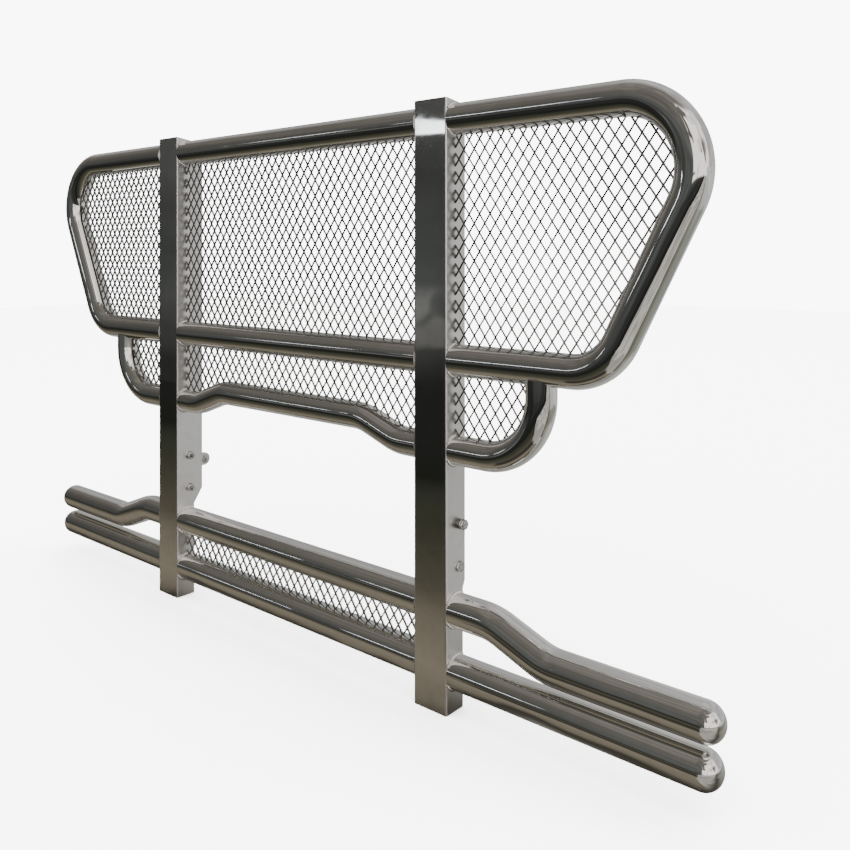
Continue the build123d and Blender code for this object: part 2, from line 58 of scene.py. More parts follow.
# ---------------------------------------------------------------- studio
# Plain pale floor and white surroundings. What the polish mirrors is a workshop: a dark wall
# ahead with one row of lamps, a pale wall behind, a bright bay on the right, a brown floor.
class Sum:
    """One number that changes over a surface, with the sums that can be done on it."""

    def __init__(self, recipe, socket):
        self.recipe = recipe
        self.socket = socket

    def maths(self, operation, *values):
        return self.recipe.node("ShaderNodeMath", {"operation": operation}, *values)

    def __add__(self, other):
        return self.maths("ADD", self, other)

    def __radd__(self, other):
        return self.maths("ADD", other, self)

    def __sub__(self, other):
        return self.maths("SUBTRACT", self, other)

    def __rsub__(self, other):
        return self.maths("SUBTRACT", other, self)

    def __mul__(self, other):
        return self.maths("MULTIPLY", self, other)

    def __rmul__(self, other):
        return self.maths("MULTIPLY", other, self)

    def __truediv__(self, other):
        return self.maths("DIVIDE", self, other)

    def __neg__(self):
        return self.maths("MULTIPLY", self, -1.0)

    def __abs__(self):
        return self.maths("ABSOLUTE", self, 0.0)

    def clamp(self):
        return self.recipe.node("ShaderNodeClamp", {}, self)

    def step(self, low, high):
        ease = {"interpolation_type": "SMOOTHSTEP"}
        return self.recipe.node("ShaderNodeMapRange", ease, self, low, high, 0.0, 1.0)


class Recipe:
    """The node tree that a finish is cooked in. node() adds one step and hands back its outcome."""

    def __init__(self, tree):
        self.tree = tree
        tree.nodes.clear()

    def node(self, kind, settings, *values, out=0, **named):
        made = self.tree.nodes.new(kind)
        for key, value in settings.items():
            if key == "stops":
                ramp = made.color_ramp
                while len(ramp.elements) < len(value):
                    ramp.elements.new(0.5)
                for element, (place, colour) in zip(ramp.elements, value):
                    element.position = place
                    element.color = (*colour, 1)
            else:
                setattr(made, key, value)
        sockets = [s for s in made.inputs if s.enabled]
        for socket, value in zip(sockets, values):
            self.feed(socket, value)
        for key, value in named.items():
            self.feed(made.inputs[key.replace("_", " ")], value)
        given = [s for s in made.outputs if s.enabled]
        return Sum(self, given[out]) if given else None

    def feed(self, socket, value):
        if isinstance(value, Sum):
            self.tree.links.new(value.socket, socket)
        elif value is not None:
            socket.default_value = value

    def blend(self, amount, first, second):
        return self.node("ShaderNodeMix", {"data_type": "RGBA"}, amount, first, second)


world = bpy.data.worlds.new("workshop")
bpy.context.scene.world = world
world.use_nodes = True
sky = Recipe(world.node_tree)
look = sky.node("ShaderNodeTexCoord", {})
look.socket = look.socket.node.outputs["Generated"]
parts_xyz = sky.node("ShaderNodeSeparateXYZ", {}, look)
look_x = Sum(sky, parts_xyz.socket.node.outputs[0])
look_y = Sum(sky, parts_xyz.socket.node.outputs[1])
look_z = Sum(sky, parts_xyz.socket.node.outputs[2])
# turn about the guard's long axis: 0 level ahead, 0.25 overhead, 0.5 level behind, 0.75 underfoot
turn = sky.node("ShaderNodeMath", {"operation": "ARCTAN2"}, look_z, -look_y) / (2 * math.pi)
turn = sky.node("ShaderNodeMath", {"operation": "FRACT"}, turn + 1.0)
clutter = sky.node("ShaderNodeTexNoise", {}, Vector=look, Scale=5.0, Detail=3.0, Distortion=0.6)
lamp_turn = turn + (clutter - 0.5) * 0.002
turn = turn + (clutter - 0.5) * 0.012
room = sky.node(
    "ShaderNodeValToRGB",
    {
        "stops": [
            (0.000, (0.074, 0.079, 0.076)),
            (0.020, (0.074, 0.077, 0.074)),
            (0.034, (0.100, 0.101, 0.097)),
            (0.080, (0.115, 0.111, 0.100)),
            (0.130, (0.145, 0.136, 0.120)),
            (0.180, (0.175, 0.163, 0.144)),
            (0.235, (0.185, 0.172, 0.154)),
            (0.262, (0.340, 0.326, 0.305)),
            (0.300, (0.520, 0.510, 0.495)),
            (0.420, (0.500, 0.495, 0.485)),
            (0.490, (0.600, 0.600, 0.600)),
            (0.560, (0.560, 0.560, 0.550)),
            (0.880, (0.030, 0.030, 0.027)),
            (0.968, (0.030, 0.030, 0.029)),
            (0.974, (0.052, 0.053, 0.051)),
            (0.982, (0.058, 0.060, 0.057)),
            (0.988, (0.078, 0.082, 0.078)),
            (1.000, (0.074, 0.079, 0.076)),
        ]
    },
    turn,
)
towards_posts = (look_y * -1.0).step(0.0, 0.1)
towards_posts = towards_posts * (look_x + 0.80).step(0.0, 0.05) * (1 - (look_x + 0.52).step(0.0, 0.05))
lamp_height = 0.0297
lamp_half = 0.0019
lamp_row = (lamp_half - abs(lamp_turn - lamp_height)).step(0.0, 0.0004) * (clutter + 0.25).step(0.60, 0.66)
room = sky.blend(lamp_row * towards_posts, room, (4.2, 4.4, 4.6, 1))
ahead_turn = sky.node("ShaderNodeMath", {"operation": "FRACT"}, turn + 0.5) - 0.5
gap_height = -0.014
gap_half = 0.008
door_gap = (gap_half - abs(ahead_turn - gap_height)).step(0.0, 0.002) * clutter.step(0.50, 0.56)
room = sky.blend(door_gap * towards_posts * 0.16, room, (0.62, 0.61, 0.59, 1))
along = sky.node("ShaderNodeCombineXYZ", {}, turn * 46.0, look_x * 1.6, 0.0)
streak = sky.node("ShaderNodeTexNoise", {}, Vector=along, Scale=1.0, Detail=3.0, Roughness=0.6)
shade = sky.node("ShaderNodeTexNoise", {}, Vector=look, Scale=3.0, Detail=4.0, Distortion=1.2)
shade = (0.80 + shade.step(0.35, 0.7) * 0.35) * (0.86 + streak.step(0.30, 0.66) * 0.26)
shade = shade * (0.92 + (look_x + 0.6).step(0.0, 0.3) * 0.34)
room = sky.node("ShaderNodeVectorMath", {"operation": "SCALE"}, room, Scale=shade)
bay = look_x.step(0.26, 0.34) * (1 - (look_y - 0.30).step(0.0, 0.12))
bay = bay * (look_z + 0.10).step(0.0, 0.05) * (1 - (look_z - 0.80).step(0.0, 0.10))
panes = sky.node("ShaderNodeTexNoise", {}, Vector=look, Scale=2.6, Detail=2.0, Distortion=0.8)
window = look_x.step(0.48, 0.54) * (1 - look_x.step(0.84, 0.90))
room = sky.blend(bay * (panes.step(0.47, 0.52) + window * 0.6).clamp(), room, (1.60, 1.50, 1.44, 1))
ray = sky.node("ShaderNodeLightPath", {})
seen = Sum(sky, ray.socket.node.outputs["Is Camera Ray"])
scattered = Sum(sky, ray.socket.node.outputs["Is Diffuse Ray"])
plain = (seen + scattered).clamp()
air = sky.blend(plain, room, (9.0, 9.0, 9.0, 1))
glow = sky.node("ShaderNodeBackground", {}, air, 1.0)
sky.node("ShaderNodeOutputWorld", {}, glow)

floor_mesh = bmesh.new()
bmesh.ops.create_grid(floor_mesh, x_segments=1, y_segments=1, size=14)
floor_data = bpy.data.meshes.new("floor")
floor_mesh.to_mesh(floor_data)
floor = bpy.data.objects.new("floor", floor_data)
bpy.context.scene.collection.objects.link(floor)
floor.visible_glossy = False
floor_paint = bpy.data.materials.new("pale_floor")
floor_paint.use_nodes = True
pale = Recipe(floor_paint.node_tree)
matt = pale.node("ShaderNodeBsdfDiffuse", {}, (0.98, 0.98, 0.98, 1))
pale.node("ShaderNodeOutputMaterial", {}, matt)
floor.data.materials.append(floor_paint)

card_mesh = bmesh.new()
bmesh.ops.create_grid(card_mesh, x_segments=1, y_segments=1, size=14)
bmesh.ops.scale(card_mesh, vec=(1, 2.4 / 14, 1), verts=card_mesh.verts)
bmesh.ops.translate(card_mesh, vec=(0, 0, -0.004), verts=card_mesh.verts)
card_data = bpy.data.meshes.new("workshop_floor")
card_mesh.to_mesh(card_data)
card = bpy.data.objects.new("workshop_floor", card_data)
bpy.context.scene.collection.objects.link(card)
card.visible_camera = False
card.visible_diffuse = False
card.visible_shadow = False
card_paint = bpy.data.materials.new("brown_floor")
card_paint.use_nodes = True
brown = Recipe(card_paint.node_tree)
under = brown.node("ShaderNodeTexCoord", {})
under.socket = under.socket.node.outputs["Object"]
under_xyz = brown.node("ShaderNodeSeparateXYZ", {}, under)
under_x = Sum(brown, under_xyz.socket.node.outputs[0])
under_y = Sum(brown, under_xyz.socket.node.outputs[1])
stain = brown.node("ShaderNodeTexNoise", {}, Vector=under, Scale=2.2, Detail=4.0, Distortion=0.8)
ahead = (under_y + (stain - 0.5) * 0.25) * 0.25 + 0.5
ground = brown.node(
    "ShaderNodeValToRGB",
    {
        "stops": [
            (0.00, (0.020, 0.021, 0.019)),
            (0.13, (0.017, 0.018, 0.014)),
            (0.20, (0.040, 0.043, 0.031)),
            (0.27, (0.052, 0.051, 0.036)),
            (0.32, (0.070, 0.066, 0.048)),
            (0.37, (0.095, 0.087, 0.064)),
            (0.41, (0.170, 0.152, 0.114)),
            (0.46, (0.240, 0.212, 0.160)),
            (0.487, (0.190, 0.168, 0.127)),
            (0.500, (0.050, 0.047, 0.038)),
            (0.512, (0.075, 0.070, 0.058)),
            (0.530, (0.280, 0.270, 0.236)),
            (0.600, (0.460, 0.450, 0.420)),
            (0.680, (0.620, 0.615, 0.600)),
            (1.000, (0.620, 0.620, 0.610)),
        ]
    },
    ahead,
)
mat_x = under_x + (stain - 0.5) * 0.8
mossy = mat_x.step(1.35, 1.75) * (1 - mat_x.step(2.4, 3.0)) * (under_y + 0.2).step(0.0, 0.2)
ground = brown.blend(mossy * 0.6, ground, (0.090, 0.100, 0.055, 1))
rubber_y = under_y + (stain - 0.5) * 0.10
rubber = (under_x + (stain - 0.5) * 0.3).step(0.32, 0.37)
rubber = rubber * rubber_y.step(-0.50, -0.46) * (1 - rubber_y.step(-0.27, -0.22))
ground = brown.blend(rubber * 0.9, ground, (0.034, 0.034, 0.029, 1))
sunny = (under_x + (stain - 0.5) * 0.6).step(1.05, 1.12)
sunny = sunny * (under_y + 1.6).step(0.0, 0.1) * (1 - (under_y + 0.10).step(0.0, 0.15))
sunny = sunny * (0.5 + (stain * -1.0 + 1.0).step(0.44, 0.50) * 0.4)
ground = brown.blend(sunny, ground, (0.72, 0.69, 0.64, 1))
bright = brown.node("ShaderNodeEmission", {}, ground, 1.0)
brown.node("ShaderNodeOutputMaterial", {}, bright)
card.data.materials.append(card_paint)

for name, place, aim, size, power in (
    ("key_softbox", (-2.6, -2.4, 3.4), (0, 0, 0.6), 1.6, 60),
    ("fill_softbox", (3.2, -1.2, 2.6), (0, 0, 0.6), 1.8, 25),
):
    lamp = bpy.data.objects.new(name, bpy.data.lights.new(name, "AREA"))
    bpy.context.scene.collection.objects.link(lamp)
    lamp.data.shape = "SQUARE"
    lamp.data.size = size
    lamp.data.energy = power
    lamp.visible_glossy = False
    lamp.location = place
    lamp.rotation_euler = (Vector(aim) - Vector(place)).to_track_quat("-Z", "Y").to_euler()


# ---------------------------------------------------------------- posts
# Each post is stainless sheet folded into a channel, its front face and flanges buffed
# to a mirror after folding. The plates at top and foot are let in and welded.
def mirror_polish(name, tint, dull, haze, wave, wave_scale, side_haze=0.0):
    paint = bpy.data.materials.new(name)
    paint.use_nodes = True
    mix = Recipe(paint.node_tree)
    spot = mix.node("ShaderNodeTexCoord", {})
    spot.socket = spot.socket.node.outputs["Object"]
    swell = mix.node("ShaderNodeTexNoise", {}, Vector=spot, Scale=wave_scale, Detail=1.0)
    buff = mix.node("ShaderNodeTexNoise", {}, Vector=spot, Scale=38.0, Detail=4.0)
    grit = mix.node("ShaderNodeTexNoise", {}, Vector=spot, Scale=420.0, Detail=2.0)
    smear = buff.step(0.42, 0.72)
    colour = mix.blend(smear, (*tint, 1), (*dull, 1))
    rough = haze + smear * (haze * 0.9) + grit.step(0.55, 0.75) * (haze * 0.6)
    if side_haze:
        facing = mix.node("ShaderNodeTexCoord", {})
        facing.socket = facing.socket.node.outputs["Normal"]
        facing_xyz = mix.node("ShaderNodeSeparateXYZ", {}, facing)
        rough = rough + abs(Sum(mix, facing_xyz.socket.node.outputs[0])).step(0.7, 0.9) * side_haze
        spot_xyz = mix.node("ShaderNodeSeparateXYZ", {}, spot)
        spot_x = Sum(mix, spot_xyz.socket.node.outputs[0])
        spot_y = Sum(mix, spot_xyz.socket.node.outputs[1])
        # Painted highlight: the posts' front folds get a near-white colour, standing in for the bright line the
        # light draws along them. The folds are rougher there too.
        corner = abs(abs(spot_x) - post_mid).step(post_half - fold_r, post_half - fold_r * 0.8)
        corner = corner * (1 - spot_y.step(fold_r * 0.8, fold_r))
        rough = rough + corner * 0.30
        colour = mix.blend(corner, colour, (0.97, 0.97, 0.96, 1))
    bump = mix.node("ShaderNodeBump", {}, Strength=wave, Distance=0.02, Height=swell)
    skin = mix.node(
        "ShaderNodeBsdfPrincipled",
        {},
        Base_Color=colour,
        Metallic=1.0,
        Roughness=rough,
        Normal=bump,
    )
    mix.node("ShaderNodeOutputMaterial", {}, skin)
    return paint


post_low, post_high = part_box("right_post")
post_mid = (post_low.x + post_high.x) / 2
post_half = (post_high.x - post_low.x) / 2
fold_r = 0.004
sheet_polish = mirror_polish(
    "sheet_polish", (0.82, 0.815, 0.80), (0.78, 0.77, 0.75), haze=0.022, wave=0.05, wave_scale=5.0, side_haze=0.32
)
for node in (
    "right_post",
    "left_post",
    "right_post_cap",
    "left_post_cap",
    "right_post_foot",
    "left_post_foot",
    "right_bracket_lug",
    "left_bracket_lug",
):
    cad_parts[node].data.materials.clear()
    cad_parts[node].data.materials.append(sheet_polish)


# ---------------------------------------------------------------- loop
# The loop is round stainless tube, cut, bent on a tube bender and butt-welded: straight
# rails between the posts, then elbows and a slanted straight at each end. Mirror polished.
def put(shape, name, finish, *nodes, smooth=40):
    bmesh.ops.recalc_face_normals(shape, faces=shape.faces)
    data = bpy.data.meshes.new(name)
    shape.to_mesh(data)
    shape.free()
    data.materials.append(finish)
    data.shade_smooth()
    data.set_sharp_from_angle(angle=math.radians(smooth))
    piece = bpy.data.objects.new(name, data)
    bpy.context.scene.collection.objects.link(piece)
    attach(piece, "root")
    for node in nodes:
        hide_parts(node)
    return piece


def put_pair(shape, name, finish, smooth=40):
    twin = shape.copy()
    bmesh.ops.scale(twin, vec=(-1, 1, 1), verts=twin.verts)
    bmesh.ops.reverse_faces(twin, faces=twin.faces)
    put(shape, "right_" + name + "_skin", finish, "right_" + name, smooth=smooth)
    put(twin, "left_" + name + "_skin", finish, "left_" + name, smooth=smooth)


def bent_tube(start, heading, radius, moves, sides=72):
    """Follows a bender's list: a length is pushed straight, a (radius, degrees) pair is bent, up positive."""
    shape = bmesh.new()
    place = Vector(start)
    ahead = Vector(heading).normalized()
    across = Vector((0, 1, 0))
    stand = Matrix.Translation(place) @ ahead.to_track_quat("Z", "Y").to_matrix().to_4x4()
    bmesh.ops.create_circle(shape, cap_ends=False, segments=sides, radius=radius, matrix=stand)
    ring = list(shape.edges)
    rims = [list(ring)]
    for move in moves:
        if isinstance(move, tuple):
            bend_radius, degrees = move
            angle = -math.radians(degrees)
            inward = across.cross(ahead) * (1 if degrees < 0 else -1)
            centre = place + inward * bend_radius
            steps = max(4, round(abs(degrees) / 2.5))
            verts = list({v for e in ring for v in e.verts})
            spun = bmesh.ops.spin(
                shape, geom=ring + verts, cent=centre, axis=across, angle=angle, steps=steps, use_duplicate=False
            )
            ring = [g for g in spun["geom_last"] if isinstance(g, bmesh.types.BMEdge)]
            swing = Matrix.Rotation(angle, 3, across)
            place = centre + swing @ (place - centre)
            ahead = swing @ ahead
        else:
            grown = bmesh.ops.extrude_edge_only(shape, edges=ring)
            verts = [g for g in grown["geom"] if isinstance(g, bmesh.types.BMVert)]
            edges = [g for g in grown["geom"] if isinstance(g, bmesh.types.BMEdge)]
            ring = [e for e in edges if all(v in verts for v in e.verts)]
            place = place + ahead * move
            bmesh.ops.translate(shape, vec=ahead * move, verts=verts)
    rims.append(ring)
    for rim in rims:
        bmesh.ops.contextual_create(shape, geom=rim)
    return shape


tube_polish = mirror_polish(
    "tube_polish", (0.86, 0.855, 0.84), (0.82, 0.81, 0.79), haze=0.028, wave=0.06, wave_scale=8.0
)
rail_low, rail_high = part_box("top_rail")
tube_y = (rail_low.y + rail_high.y) / 2
top_z = (rail_low.z + rail_high.z) / 2
loop_r = (rail_high.z - rail_low.z) / 2
post_in = rail_high.x
mid_low, mid_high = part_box("middle_rail")
mid_z = (mid_low.z + mid_high.z) / 2
post_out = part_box("right_top_elbow")[0].x
for name, height in (("top_rail", top_z), ("middle_rail", mid_z)):
    shape = bent_tube((-post_in, tube_y, height), (1, 0, 0), loop_r, [2 * post_in])
    put(shape, name + "_skin", tube_polish, name)

top_corner_x = 1.140
mid_corner_x = 0.885
top_bend_r = 0.135
mid_bend_r = 0.116
slope = math.atan2(top_z - mid_z, top_corner_x - mid_corner_x)
top_turn = math.pi - slope
top_tangent = top_bend_r * math.tan(top_turn / 2)
mid_tangent = mid_bend_r * math.tan(slope / 2)
along = Vector((math.cos(slope), 0, math.sin(slope)))
put_pair(
    bent_tube(
        (post_out, tube_y, top_z),
        (1, 0, 0),
        loop_r,
        [top_corner_x - top_tangent - post_out, (top_bend_r, -math.degrees(top_turn))],
    ),
    "top_elbow",
    tube_polish,
)
side_low = Vector((mid_corner_x, tube_y, mid_z)) + along * mid_tangent
side_run = math.hypot(top_corner_x - mid_corner_x, top_z - mid_z) - top_tangent - mid_tangent
put_pair(bent_tube(side_low, along, loop_r, [side_run]), "side_tube", tube_polish)
put_pair(
    bent_tube(
        (post_out, tube_y, mid_z),
        (1, 0, 0),
        loop_r,
        [mid_corner_x - mid_tangent - post_out, (mid_bend_r, math.degrees(slope))],
    ),
    "lower_elbow",
    tube_polish,
)

# ---------------------------------------------------------------- lower bar
# A slightly thinner tube hangs below the loop. Its middle is raised by two gentle double
# bends, and outside the posts it turns up to be welded under the middle rail.
bar_low, bar_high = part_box("lower_bar")
bar_r = 0.03175
bar_z = bar_low.z + bar_r
lift = bar_high.z - bar_low.z - 2 * bar_r
lift_in = 0.261
lift_out = 0.373
lift_bend = 0.140
lift_turn = math.atan2(lift, lift_out - lift_in)
nip = lift_bend * math.tan(lift_turn / 2)
ramp = math.hypot(lift, lift_out - lift_in) - 2 * nip
up = (lift_bend, math.degrees(lift_turn))
down = (lift_bend, -math.degrees(lift_turn))
outer = post_in - lift_out - nip
middle = 2 * (lift_in - nip)
put(
    bent_tube(
        (-post_in, tube_y, bar_z),
        (1, 0, 0),
        bar_r,
        [outer, up, ramp, down, middle, down, ramp, up, outer],
    ),
    "lower_bar_skin",
    tube_polish,
    "lower_bar",
)
leg_x = 0.745
leg_bend = 0.133
put_pair(
    bent_tube(
        (post_out, tube_y, bar_z),
        (1, 0, 0),
        bar_r,
        [leg_x - leg_bend - post_out, (leg_bend, 90), mid_z - 0.6 * loop_r - bar_z - leg_bend],
    ),
    "lower_bend",
    tube_polish,
)

# ---------------------------------------------------------------- bumper tubes
# Two heavier tubes cross the feet of the posts. The lower one runs straight out to both
# sides; the upper one drops beside it in a double bend. Spun domes close all four ends.
low_low, low_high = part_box("lower_bumper_centre")
up_low, up_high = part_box("upper_bumper_centre")
bump_y = (low_low.y + low_high.y) / 2
bump_r = (low_high.z - low_low.z) / 2
bump_low_z = (low_low.z + low_high.z) / 2
bump_up_z = (up_low.z + up_high.z) / 2
for name, height in (("lower_bumper_centre", bump_low_z), ("upper_bumper_centre", bump_up_z)):
    shape = bent_tube((-post_in, bump_y, height), (1, 0, 0), bump_r, [2 * post_in])
    put(shape, name + "_skin", tube_polish, name)
low_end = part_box("right_lower_wing")[1].x
up_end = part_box("right_upper_wing")[1].x
wing_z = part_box("right_upper_wing")[0].z + bump_r
wing_in = 0.628
wing_out = 0.757
wing_bend = 0.150
wing_turn = math.atan2(bump_up_z - wing_z, wing_out - wing_in)
wing_nip = wing_bend * math.tan(wing_turn / 2)
drop = math.hypot(bump_up_z - wing_z, wing_out - wing_in) - 2 * wing_nip
put_pair(
    bent_tube((post_out, bump_y, bump_low_z), (1, 0, 0), bump_r, [low_end - post_out]), "lower_wing", tube_polish
)
put_pair(
    bent_tube(
        (post_out, bump_y, bump_up_z),
        (1, 0, 0),
        bump_r,
        [
            wing_in - wing_nip - post_out,
            (wing_bend, -math.degrees(wing_turn)),
            drop,
            (wing_bend, math.degrees(wing_turn)),
            up_end - wing_out - wing_nip,
        ],
    ),
    "upper_wing",
    tube_polish,
)
for name, end, height in (("lower_dome", low_end, bump_low_z), ("upper_dome", up_end, wing_z)):
    shape = bmesh.new()
    rim = bmesh.ops.create_vert(shape, co=(end, bump_y, height + bump_r))["vert"]
    bmesh.ops.spin(
        shape,
        geom=rim,
        cent=(end, bump_y, height),
        axis=(0, 1, 0),
        angle=math.radians(90),
        steps=24,
        use_duplicate=False,
    )
    bmesh.ops.spin(
        shape,
        geom=list(shape.verts) + list(shape.edges),
        cent=(end, bump_y, height),
        axis=(1, 0, 0),
        angle=math.radians(360),
        steps=72,
        use_merge=True,
        use_duplicate=False,
    )
    bmesh.ops.remove_doubles(shape, verts=shape.verts, dist=0.00001)
    bmesh.ops.holes_fill(shape, edges=[e for e in shape.edges if e.is_boundary], sides=0)
    put_pair(shape, name, tube_polish)


# ---------------------------------------------------------------- expanded mesh
# Thin stainless sheet, slit and stretched into upright diamonds. Every strand leans out of
# the sheet's plane, one way on one slant and the other way on the other, and the sheet
# is tacked straight to the tubes all round.
def rounded(corners, radii):
    """The corners of a closed outline with its given corners rounded, as points on the sheet."""
    line = []
    for i, corner in enumerate(corners):
        here = Vector(corner)
        radius = radii[i]
        if not radius:
            line.append(here)
            continue
        back = (Vector(corners[i - 1]) - here).normalized()
        on = (Vector(corners[(i + 1) % len(corners)]) - here).normalized()
        half = back.angle(on) / 2
        hub = here + (back + on).normalized() * (radius / math.sin(half))
        first = here + back * (radius / math.tan(half)) - hub
        last = here + on * (radius / math.tan(half)) - hub
        sweep = first.angle_signed(last)
        for k in range(13):
            line.append(hub + Matrix.Rotation(-sweep * k / 12, 2) @ first)
    return line


def inside_spans(a, b, line):
    """The stretches of a strand from a to b that lie inside a closed outline, as fractions."""
    shortest = 0.03
    cuts = [0.0, 1.0]
    d = b - a
    for i, p in enumerate(line):
        q = line[(i + 1) % len(line)] - p
        cross = d.x * q.y - d.y * q.x
        if abs(cross) > 1e-12:
            w = p - a
            s = (w.x * q.y - w.y * q.x) / cross
            t = (w.x * d.y - w.y * d.x) / cross
            if 0 < s < 1 and 0 <= t < 1:
                cuts.append(s)
    cuts.sort()
    spans = []
    for low, high in zip(cuts, cuts[1:]):
        m = a + d * ((low + high) / 2)
        odd = False
        for i, p in enumerate(line):
            q = line[(i + 1) % len(line)]
            if (p.y > m.y) != (q.y > m.y) and m.x < p.x + (m.y - p.y) / (q.y - p.y) * (q.x - p.x):
                odd = not odd
        if odd and high - low > shortest:
            spans.append((low, high))
    return spans


def mesh_panel(name, outline, depth, finish):
    """A sheet of diamonds cut to an outline, one leaning bar for each strand, set at a depth behind the front."""
    half_x = 0.027 / 2
    half_z = 0.039 / 2
    strand = 0.0056
    gauge = 0.0036
    lean = 28
    overlap = 0.0012
    shape = bmesh.new()
    xs = [p.x for p in outline]
    zs = [p.y for p in outline]
    for i in range(math.floor(min(xs) / half_x) - 1, math.ceil(max(xs) / half_x) + 1):
        for j in range(math.floor(min(zs) / half_z) - 1, math.ceil(max(zs) / half_z) + 1):
            if (i + j) % 2:
                continue
            knot = Vector((i * half_x, j * half_z))
            for slant in (1, -1):
                far = knot + Vector((half_x, slant * half_z))
                for low, high in inside_spans(knot, far, outline):
                    a = knot.lerp(far, low)
                    b = knot.lerp(far, high)
                    run = Vector((b.x - a.x, 0, b.y - a.y))
                    middle = Vector(((a.x + b.x) / 2, depth, (a.y + b.y) / 2))
                    face = run.to_track_quat("X", "Y").to_matrix().to_4x4()
                    twist = Matrix.Rotation(math.radians(lean * slant), 4, "X")
                    size = Matrix.Diagonal((run.length + overlap, gauge, strand, 1))
                    bmesh.ops.create_cube(shape, size=1, matrix=Matrix.Translation(middle) @ face @ twist @ size)
    return put(shape, name + "_strands", finish, name, smooth=20)


strand_polish = mirror_polish(
    "strand_polish", (0.50, 0.49, 0.47), (0.36, 0.35, 0.33), haze=0.13, wave=0.02, wave_scale=30.0
)
rail_under = top_z - loop_r
rail_over = mid_z + loop_r
mid_under = mid_z - loop_r
bar_over = bar_z + bar_r
box_top = [(-post_in, rail_over), (post_in, rail_over), (post_in, rail_under), (-post_in, rail_under)]
mesh_panel("upper_centre_mesh", rounded(box_top, (0, 0, 0, 0)), tube_y, strand_polish)
top_x = top_corner_x - loop_r * math.tan(top_turn / 2)
mid_x = mid_corner_x - loop_r * math.tan(slope / 2)
wing_radii = (0, mid_bend_r - loop_r, top_bend_r - loop_r, 0)
leg_in = leg_x - bar_r
shift = bar_r * math.tan(lift_turn / 2)
for side, sign in (("right", 1), ("left", -1)):
    wing = [(post_out, rail_over), (mid_x, rail_over), (top_x, rail_under), (post_out, rail_under)]
    wing = [Vector((sign * p.x, p.y)) for p in rounded(wing, wing_radii)]
    mesh_panel("upper_" + side + "_mesh", wing, tube_y, strand_polish)
    pocket = [(post_out, bar_over), (leg_in, bar_over), (leg_in, mid_under), (post_out, mid_under)]
    pocket = [Vector((sign * p.x, p.y)) for p in rounded(pocket, (0, leg_bend - bar_r, 0, 0))]
    mesh_panel("lower_" + side + "_mesh", pocket, tube_y, strand_polish)
belly = [
    (-post_in, bar_over),
    (-lift_out - shift, bar_over),
    (-lift_in - shift, bar_over + lift),
    (lift_in + shift, bar_over + lift),
    (lift_out + shift, bar_over),
    (post_in, bar_over),
    (post_in, mid_under),
    (-post_in, mid_under),
]
inner_r = lift_bend - bar_r
outer_r = lift_bend + bar_r
belly = rounded(belly, (0, inner_r, outer_r, outer_r, inner_r, 0, 0, 0))
mesh_panel("lower_centre_mesh", belly, tube_y, strand_polish)
strip_low = bump_low_z + bump_r
strip_high = bump_up_z - bump_r
strip = [(-post_in, strip_low), (post_in, strip_low), (post_in, strip_high), (-post_in, strip_high)]
mesh_panel("bumper_mesh", rounded(strip, (0, 0, 0, 0)), bump_y, strand_polish)

# ---------------------------------------------------------------- flange bolts
# Plain zinc-grey hex bolts, two through each post's flanges. The upper one of each pair
# stands on a dark turned spacer; the threads stick out past their nuts towards the middle.
def turned(shape, outline, centre, turns=36):
    """Spins an outline of (distance along X, radius) pairs about an axis along X through a centre."""
    verts = []
    for along_x, radius in outline:
        spot = (centre[0] + along_x, centre[1], centre[2] + radius)
        verts += bmesh.ops.create_vert(shape, co=spot)["vert"]
    edges = [shape.edges.new(pair) for pair in zip(verts, verts[1:])]
    bmesh.ops.spin(
        shape,
        geom=verts + edges,
        cent=centre,
        axis=(1, 0, 0),
        angle=math.radians(360),
        steps=turns,
        use_merge=True,
        use_duplicate=False,
    )


def hexagon(shape, centre, height, across_flats=0.019, edge=0.0010):
    """A hex head or nut lying along X, its six corners eased on both faces."""
    stand = Matrix.Translation((centre[0] + height / 2, centre[1], centre[2]))
    stand = stand @ Matrix.Rotation(math.pi / 2, 4, "Y")
    radius = across_flats / math.sqrt(3)
    made = bmesh.ops.create_cone(
        shape, cap_ends=True, segments=6, radius1=radius, radius2=radius, depth=height, matrix=stand
    )
    verts = set(made["verts"])
    own = [e for e in shape.edges if verts.issuperset(e.verts)]
    rim = [e for e in own if abs(e.verts[0].co.x - e.verts[1].co.x) < 1e-6]
    bmesh.ops.bevel(shape, geom=rim, offset=edge, segments=2, affect="EDGES", profile=0.5, material=-1)


def threaded(shape, centre, length, radius=0.006, pitch=0.00175):
    """A length of bolt shank, each turn of its thread a ridge, its end eased."""
    outline = [(0, 0), (0, radius * 0.82)]
    turns = int((length - 0.002) / pitch)
    for k in range(turns):
        outline.append((0.001 + k * pitch, radius * 0.90))
        outline.append((0.001 + (k + 0.5) * pitch, radius))
    outline += [(length, radius * 0.90), (length, 0)]
    turned(shape, outline, centre, turns=28)


bolt_steel = mirror_polish(
    "bolt_steel", (0.62, 0.62, 0.61), (0.40, 0.40, 0.39), haze=0.11, wave=0.08, wave_scale=60.0
)
spacer_steel = mirror_polish(
    "spacer_steel", (0.16, 0.16, 0.16), (0.09, 0.09, 0.09), haze=0.22, wave=0.08, wave_scale=60.0
)
flange_y = sum(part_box("lower_flange_bolts")[i].y for i in (0, 1)) / 2
lower_z = sum(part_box("lower_flange_bolts")[i].z for i in (0, 1)) / 2
upper_z = sum(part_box("upper_flange_bolts")[i].z for i in (0, 1)) / 2
head_high = 0.0075
nut_high = 0.0108
thread_out = 0.009
washer_thick = 0.002
spacer_long = 0.010


